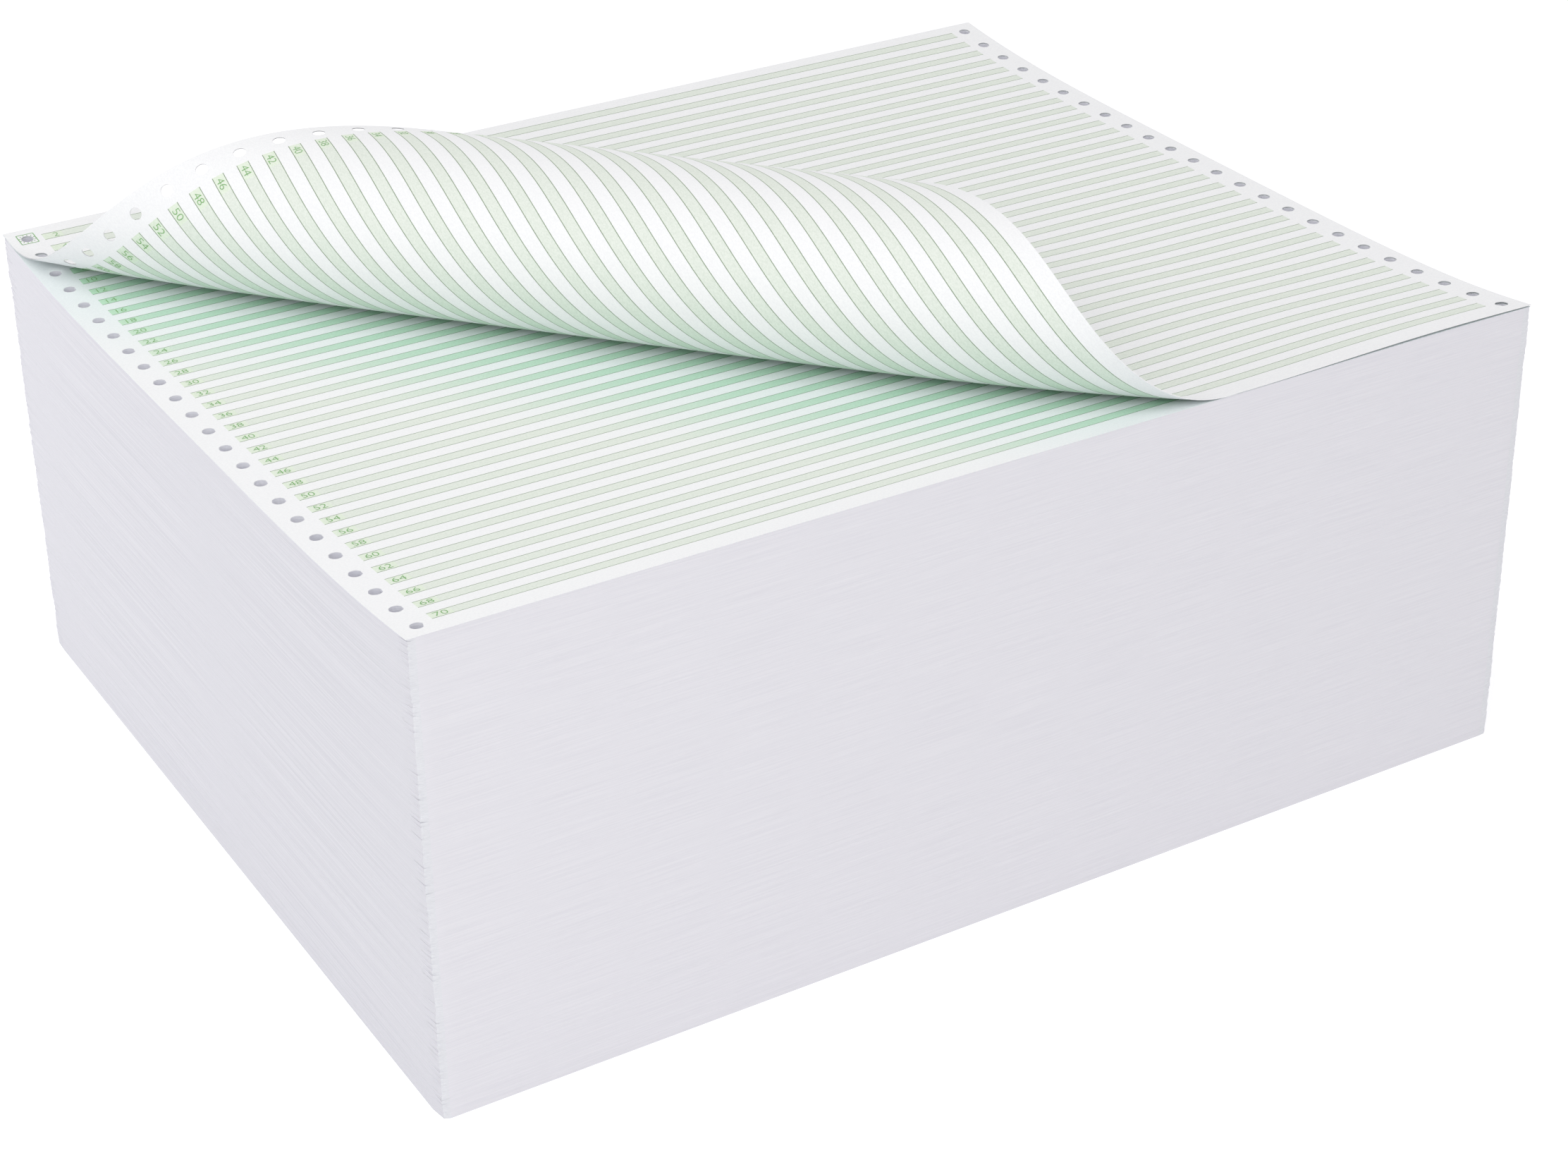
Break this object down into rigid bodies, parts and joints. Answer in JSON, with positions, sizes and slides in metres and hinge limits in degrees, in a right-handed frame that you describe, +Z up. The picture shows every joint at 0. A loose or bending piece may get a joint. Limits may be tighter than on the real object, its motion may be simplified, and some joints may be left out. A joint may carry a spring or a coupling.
{
  "type": "fan-fold computer paper",
  "caption": "Stack of continuous fan-folded listing paper with sprocket-hole margins, its top pair of sheets rolled back at one corner.",
  "frame": {"origin": "centre of the underside of the stack", "axes": "+Z up, +X across the web towards the right cut edge, +Y from the front fold to the back fold"},
  "size_m": [0.375, 0.3048, 0.1987],
  "materials": {
    "paper": "uncoated listing paper with pale green bars on its printed side"
  },
  "bodies": {
    "root": {"fanfold_paper": "paper"}
  },
  "joints": []
}
